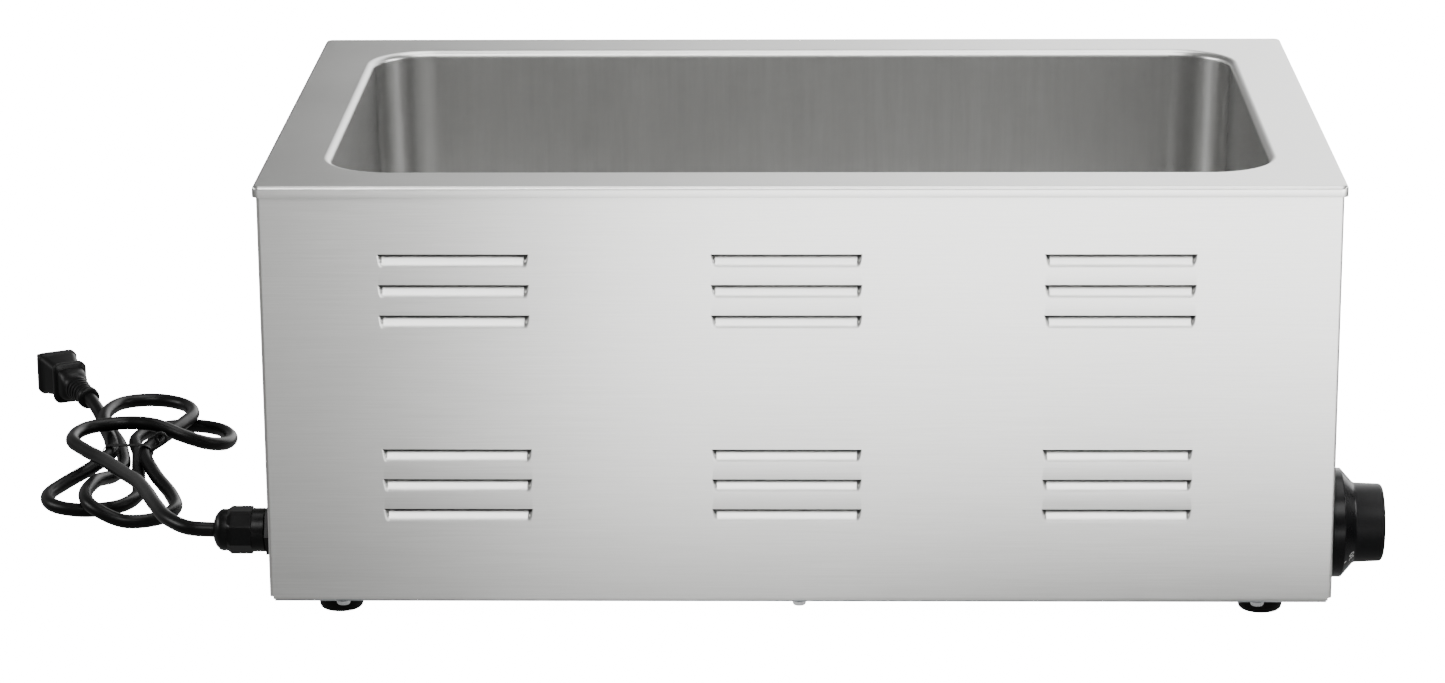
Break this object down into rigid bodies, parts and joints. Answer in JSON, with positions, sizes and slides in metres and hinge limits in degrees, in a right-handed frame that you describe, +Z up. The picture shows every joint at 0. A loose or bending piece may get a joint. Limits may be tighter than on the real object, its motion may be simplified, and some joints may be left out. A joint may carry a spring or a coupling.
{
  "type": "steam table unit",
  "caption": "Countertop food warmer: stainless housing with louvres, one drawn rectangular well open at the top, rubber feet, a thermostat knob on one end and a corded plug on the other.",
  "frame": {"origin": "on the table under the middle of the housing, at the bottom centre of the unit without its cord", "axes": "+X along the housing towards the control knob, +Y from the front panel to the rear panel, +Z up"},
  "size_m": [0.8015, 0.4658, 0.243],
  "materials": {
    "stainless_bright": "satin drawn stainless steel",
    "stainless_brushed": "brushed stainless steel, grain left to right",
    "galvanised_steel": "dull galvanised sheet",
    "zinc_steel": "bright zinc plated",
    "rubber": "matt black moulded",
    "knob_black": "matt black moulded",
    "nylon_black": "satin black nylon",
    "cord_black": "satin black cord jacket",
    "plug_black": "satin black moulded",
    "nickel_plate": "nickel plated brass",
    "phenolic": "dark moulded phenolic",
    "ceramic": "glazed white ceramic",
    "copper": "bare copper",
    "element_sheath": "heat-darkened metal sheath",
    "lead_black": "black lead sleeve",
    "lead_red": "red lead sleeve",
    "lead_white": "white lead sleeve",
    "lead_green": "green lead sleeve"
  },
  "bodies": {
    "housing": {"base_plate": "galvanised_steel", "base_screw_1": "zinc_steel", "base_screw_2": "zinc_steel", "base_screw_3": "zinc_steel", "base_screw_4": "zinc_steel", "base_screw_5": "zinc_steel", "base_screw_6": "zinc_steel", "blade_live": "nickel_plate", "blade_neutral": "nickel_plate", "bulb_clip": "galvanised_steel", "capillary_tube": "copper", "clamp_nut_left": "zinc_steel", "clamp_nut_right": "zinc_steel", "clamp_stud_left": "zinc_steel", "clamp_stud_right": "zinc_steel", "cord_hank": "cord_black", "earth_nut": "zinc_steel", "earth_pin": "nickel_plate", "earth_stud": "zinc_steel", "element_clamp_left": "galvanised_steel", "element_clamp_right": "galvanised_steel", "foot_1": "rubber", "foot_2": "rubber", "foot_3": "rubber", "foot_4": "rubber", "foot_screw_1": "zinc_steel", "foot_screw_2": "zinc_steel", "foot_screw_3": "zinc_steel", "foot_screw_4": "zinc_steel", "front_panel": "stainless_brushed", "gland_body": "nylon_black", "gland_dome_nut": "nylon_black", "gland_lock_nut": "nylon_black", "heating_element": "element_sheath", "lead_earth": "lead_green", "lead_live": "lead_black", "lead_neutral": "lead_white", "lead_return": "lead_white", "lead_switched": "lead_red", "left_end_panel": "stainless_brushed", "plug_body": "plug_black", "power_cord": "cord_black", "power_cord_tail": "cord_black", "rear_panel": "stainless_brushed", "right_end_panel": "stainless_brushed", "safety_cutout": "phenolic", "supply_cord_inner": "cord_black", "terminal_block": "ceramic", "thermostat_body": "phenolic", "thermostat_bulb": "copper", "thermostat_screw_1": "zinc_steel", "thermostat_screw_2": "zinc_steel", "water_well": "stainless_bright"},
    "knob": {"control_knob": "knob_black", "thermostat_shaft": "zinc_steel"}
  },
  "joints": [
    {"name": "knob_turn", "type": "hinge", "parent": "housing", "child": "knob", "pos_m": [0.2848, -0.146, 0.047], "axis": [-1, 0, 0], "range_deg": [0, 300]}
  ]
}
